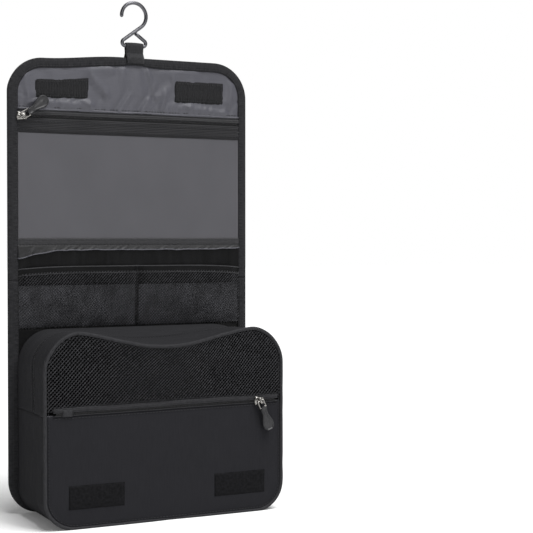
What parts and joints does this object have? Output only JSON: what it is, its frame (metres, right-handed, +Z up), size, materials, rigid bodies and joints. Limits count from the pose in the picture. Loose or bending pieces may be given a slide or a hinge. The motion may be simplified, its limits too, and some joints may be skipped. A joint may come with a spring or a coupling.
{
  "type": "hanging toiletry bag",
  "caption": "Hanging toiletry bag: a zipped case with a mesh front, and a padded panel with mesh pockets, a clear zipped window and a wire hook that folds over it.",
  "frame": {"origin": "centre of the case's base, with the bag opened out", "axes": "+X to the bag's right, +Y to its back, +Z up towards the hook"},
  "size_m": [0.24, 0.1251, 0.4723],
  "materials": {
    "outer_cloth": "heathered charcoal polyester weave",
    "side_cloth": "plain charcoal polyester weave",
    "foam": "open foam, sealed inside the panel",
    "lining": "satin nylon lining",
    "binding_tape": "woven grosgrain tape",
    "zip_tape": "ribbed zip tape",
    "zip_coil": "nylon coil",
    "mesh_net": "knitted diamond net",
    "window_film": "translucent film over the lining",
    "hook_fastener": "hook tape",
    "loop_fastener": "loop tape",
    "label": "plain woven label",
    "webbing": "woven webbing",
    "hook_steel": "dark nickel wire",
    "slider_metal": "bright nickel",
    "pull_rubber": "moulded rubber"
  },
  "bodies": {
    "case": {"case_back_cloth": "outer_cloth", "case_back_foam": "foam", "case_back_lining": "lining", "case_binding": "binding_tape", "gusset_lower": "side_cloth", "gusset_upper_rear": "side_cloth", "main_zip_tape_rear": "zip_tape", "main_zip_coil": "zip_coil", "main_zip_end_tabs": "zip_tape", "front_pocket_panel": "outer_cloth", "front_pocket_backing": "lining", "front_zip_tape": "zip_tape", "front_zip_coil": "zip_coil", "front_zip_end_tab": "zip_tape", "piping_lower": "binding_tape", "loop_patch_left": "loop_fastener", "loop_patch_right": "loop_fastener"},
    "lid": {"mesh_panel": "mesh_net", "gusset_upper_front": "side_cloth", "main_zip_tape_front": "zip_tape", "piping_upper": "binding_tape"},
    "spine": {"spine_cloth": "outer_cloth", "spine_foam": "foam", "spine_lining": "lining", "spine_binding": "binding_tape", "fold_tape": "binding_tape", "pocket_mesh": "mesh_net", "pocket_elastic": "binding_tape", "handle_anchors": "outer_cloth"},
    "handle_strap": {"handle": "outer_cloth"},
    "flap": {"flap_cloth": "outer_cloth", "flap_foam": "foam", "flap_lining": "lining", "flap_binding": "binding_tape", "window_film": "window_film", "window_zip_tape": "zip_tape", "window_zip_coil": "zip_coil", "hook_patch_left": "hook_fastener", "hook_patch_right": "hook_fastener", "flap_label": "label"},
    "hanging_tab": {"hanging_loop": "webbing"},
    "hook_wire": {"hook": "hook_steel"},
    "front_slide_body": {"front_slider": "slider_metal"},
    "front_pull": {"front_pull_ring": "slider_metal", "front_pull_tab": "pull_rubber"},
    "window_slide_body": {"window_slider": "slider_metal"},
    "window_pull": {"window_pull_ring": "slider_metal", "window_pull_tab": "pull_rubber"},
    "main_slide_body": {"main_slider": "slider_metal"},
    "main_pull": {"main_pull_ring": "slider_metal", "main_pull_tab": "pull_rubber"}
  },
  "joints": [
    {"name": "fold_lower", "type": "hinge", "parent": "case", "child": "spine", "pos_m": [0, 0.036, 0.1685], "axis": [1, 0, 0], "range_deg": [0, 90]},
    {"name": "fold_upper", "type": "hinge", "parent": "spine", "child": "flap", "pos_m": [0, 0.036, 0.2535], "axis": [1, 0, 0], "range_deg": [0, 90]},
    {"name": "lid_hinge", "type": "hinge", "parent": "case", "child": "lid", "pos_m": [0, -0.047, 0.112], "axis": [-1, 0, 0], "range_deg": [-75, 0]},
    {"name": "handle_tilt", "type": "hinge", "parent": "spine", "child": "handle_strap", "pos_m": [0, 0.052, 0.211], "axis": [1, 0, 0], "range_deg": [-18, 18], "stiffness_Nm_per_rad": 0.08},
    {"name": "tab_fold", "type": "hinge", "parent": "flap", "child": "hanging_tab", "pos_m": [0.003, 0.04, 0.4192], "axis": [1, 0, 0], "range_deg": [0, 180]},
    {"name": "hook_swing", "type": "hinge", "parent": "hanging_tab", "child": "hook_wire", "pos_m": [0.003, 0.043, 0.43], "axis": [1, 0, 0], "range_deg": [-90, 0]},
    {"name": "front_zip_slide", "type": "slide", "parent": "case", "child": "front_slide_body", "axis": [1, 0, 0.0087], "range_m": [-0.174, 0]},
    {"name": "front_pull_swing", "type": "hinge", "parent": "front_slide_body", "child": "front_pull", "pos_m": [0.0885, -0.05, 0.10147], "axis": [0.9135, 0, 0.4067], "range_deg": [-90, 0]},
    {"name": "window_zip_slide", "type": "slide", "parent": "flap", "child": "window_slide_body", "axis": [1, 0, 0], "range_m": [0, 0.211]},
    {"name": "window_pull_swing", "type": "hinge", "parent": "window_slide_body", "child": "window_pull", "pos_m": [-0.1075, 0.036, 0.36], "axis": [-0.5299, 0, 0.848], "range_deg": [-150, 0]},
    {"name": "main_zip_slide", "type": "slide", "parent": "case", "child": "main_slide_body", "axis": [0, 0, 1], "range_m": [0, 0.02]},
    {"name": "main_pull_swing", "type": "hinge", "parent": "main_slide_body", "child": "main_pull", "pos_m": [0.116, -0.002, 0.103], "axis": [0, 1, 0], "range_deg": [-150, 0]}
  ]
}
